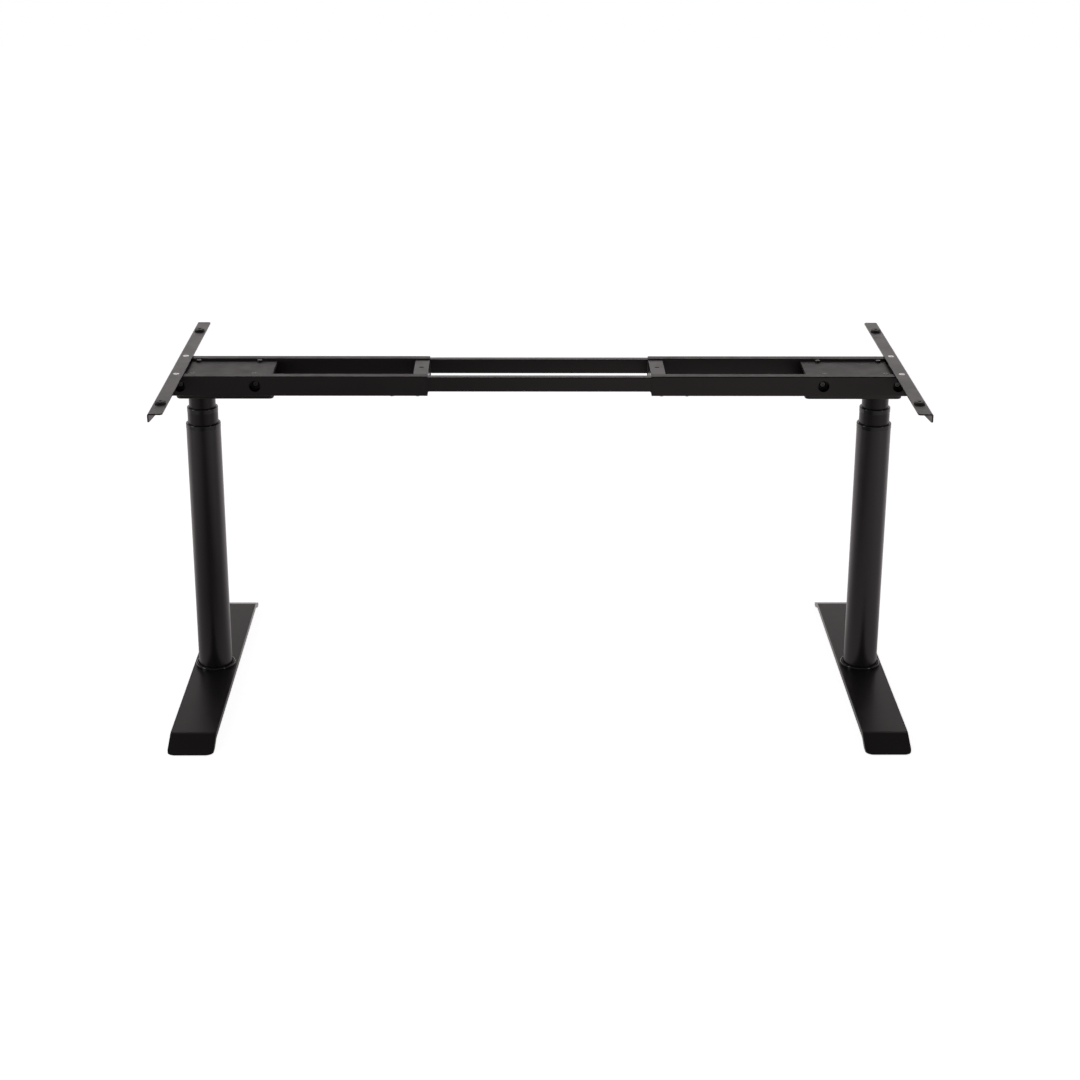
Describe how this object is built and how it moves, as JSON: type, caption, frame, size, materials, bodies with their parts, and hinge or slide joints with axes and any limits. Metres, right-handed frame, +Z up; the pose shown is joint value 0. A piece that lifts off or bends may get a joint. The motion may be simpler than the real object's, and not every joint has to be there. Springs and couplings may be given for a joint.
{
  "type": "height adjustable desk frame",
  "caption": "Electric height adjustable standing desk frame with arched plate feet, three-stage round columns, telescoping top rails and side brackets for a desktop.",
  "frame": {"origin": "on the floor, midway between the two columns", "axes": "+X to the user's right across the desk, +Y away from the user, +Z up"},
  "size_m": [1.3194, 0.717, 0.6125],
  "materials": {
    "powder_coat": "matt black powder coat",
    "gloss_trim": "smooth black moulding",
    "collar_plastic": "fine-grained black moulding",
    "guide_plastic": "natural self-lubricating moulding",
    "glide_plastic": "matt black moulding",
    "zinc_screw": "zinc plated",
    "black_screw": "blackened steel",
    "bright_steel": "rolled and oiled",
    "nut_brass": "machined",
    "drive_aluminium": "extruded",
    "gearbox_cast": "die cast",
    "motor_steel": "plated can",
    "pad_rubber": "matt black rubber"
  },
  "bodies": {
    "left_base": {"left_foot": "powder_coat", "left_foot_screws": "black_screw", "left_outer_tube": "powder_coat", "left_base_ring": "gloss_trim", "left_outer_collar": "collar_plastic", "left_fixed_rod": "bright_steel"},
    "left_levellers": {"left_levellers": "glide_plastic"},
    "left_middle": {"left_middle_tube": "powder_coat", "left_middle_collar": "collar_plastic", "left_middle_glide": "guide_plastic"},
    "left_spindle": {"left_hollow_screw": "bright_steel", "left_lower_nut": "nut_brass"},
    "left_top": {"left_inner_tube": "powder_coat", "left_inner_glide": "guide_plastic", "left_upper_nut": "nut_brass", "left_gearbox": "gearbox_cast", "left_motor": "motor_steel", "left_motor_housing": "powder_coat", "left_cover_plate": "powder_coat", "left_cover_screws": "black_screw", "left_front_outer_rail": "powder_coat", "left_rear_outer_rail": "powder_coat", "left_bridge": "powder_coat", "left_side_bracket": "powder_coat", "left_bracket_screws": "zinc_screw", "left_rubber_pads": "pad_rubber", "left_clamp_screws": "zinc_screw", "left_rail_bolts": "black_screw"},
    "left_drive": {"left_drive_tube": "drive_aluminium"},
    "right_base": {"right_foot": "powder_coat", "right_foot_screws": "black_screw", "right_outer_tube": "powder_coat", "right_base_ring": "gloss_trim", "right_outer_collar": "collar_plastic", "right_fixed_rod": "bright_steel"},
    "right_levellers": {"right_levellers": "glide_plastic"},
    "right_middle": {"right_middle_tube": "powder_coat", "right_middle_collar": "collar_plastic", "right_middle_glide": "guide_plastic"},
    "right_spindle": {"right_hollow_screw": "bright_steel", "right_lower_nut": "nut_brass"},
    "right_top": {"right_inner_tube": "powder_coat", "right_inner_glide": "guide_plastic", "right_upper_nut": "nut_brass", "right_gearbox": "gearbox_cast", "right_motor": "motor_steel", "right_motor_housing": "powder_coat", "right_cover_plate": "powder_coat", "right_cover_screws": "black_screw", "right_front_outer_rail": "powder_coat", "right_rear_outer_rail": "powder_coat", "right_bridge": "powder_coat", "right_side_bracket": "powder_coat", "right_bracket_screws": "zinc_screw", "right_rubber_pads": "pad_rubber", "right_clamp_screws": "zinc_screw", "right_rail_bolts": "black_screw"},
    "right_drive": {"right_drive_tube": "drive_aluminium"},
    "inner_rails": {"front_inner_rail": "powder_coat", "rear_inner_rail": "powder_coat"}
  },
  "joints": [
    {"name": "left_lower_lift", "type": "slide", "parent": "left_base", "child": "left_middle", "axis": [0, 0, 1], "range_m": [0, 0.325]},
    {"name": "left_upper_lift", "type": "slide", "parent": "left_middle", "child": "left_top", "axis": [0, 0, 1], "range_m": [0, 0.325]},
    {"name": "left_width", "type": "slide", "parent": "left_top", "child": "inner_rails", "axis": [1, 0, 0], "range_m": [-0.095, 0.12]},
    {"name": "right_width", "type": "slide", "parent": "inner_rails", "child": "right_top", "axis": [1, 0, 0], "range_m": [-0.095, 0.12]},
    {"name": "right_upper_lift", "type": "slide", "parent": "right_top", "child": "right_middle", "axis": [0, 0, -1], "range_m": [0, 0.325]},
    {"name": "right_lower_lift", "type": "slide", "parent": "right_middle", "child": "right_base", "axis": [0, 0, -1], "range_m": [0, 0.325]},
    {"name": "left_drive_spin", "type": "hinge", "parent": "left_top", "child": "left_drive", "pos_m": [-0.6125, 0, 0.3], "axis": [0, 0, 1], "range_deg": [0, 9751]},
    {"name": "left_spindle_spin", "type": "hinge", "parent": "left_middle", "child": "left_spindle", "pos_m": [-0.6125, 0, 0.3], "axis": [0, 0, 1], "range_deg": [0, 9751]},
    {"name": "left_levelling", "type": "slide", "parent": "left_base", "child": "left_levellers", "axis": [0, 0, -1], "range_m": [0, 0.008]},
    {"name": "right_drive_spin", "type": "hinge", "parent": "right_top", "child": "right_drive", "pos_m": [0.6125, 0, 0.3], "axis": [0, 0, 1], "range_deg": [0, 9751]},
    {"name": "right_spindle_spin", "type": "hinge", "parent": "right_middle", "child": "right_spindle", "pos_m": [0.6125, 0, 0.3], "axis": [0, 0, 1], "range_deg": [0, 9751]},
    {"name": "right_levelling", "type": "slide", "parent": "right_base", "child": "right_levellers", "axis": [0, 0, -1], "range_m": [0, 0.008]}
  ],
  "couplings": [
    {"joint": "left_upper_lift", "follows": "left_lower_lift", "ratio": 1},
    {"joint": "right_upper_lift", "follows": "left_lower_lift", "ratio": 1},
    {"joint": "right_lower_lift", "follows": "left_lower_lift", "ratio": 1},
    {"joint": "left_drive_spin", "follows": "left_lower_lift", "rad_per_m": 523.6},
    {"joint": "left_spindle_spin", "follows": "left_lower_lift", "rad_per_m": 523.6},
    {"joint": "right_drive_spin", "follows": "left_lower_lift", "rad_per_m": 523.6},
    {"joint": "right_spindle_spin", "follows": "left_lower_lift", "rad_per_m": 523.6}
  ]
}
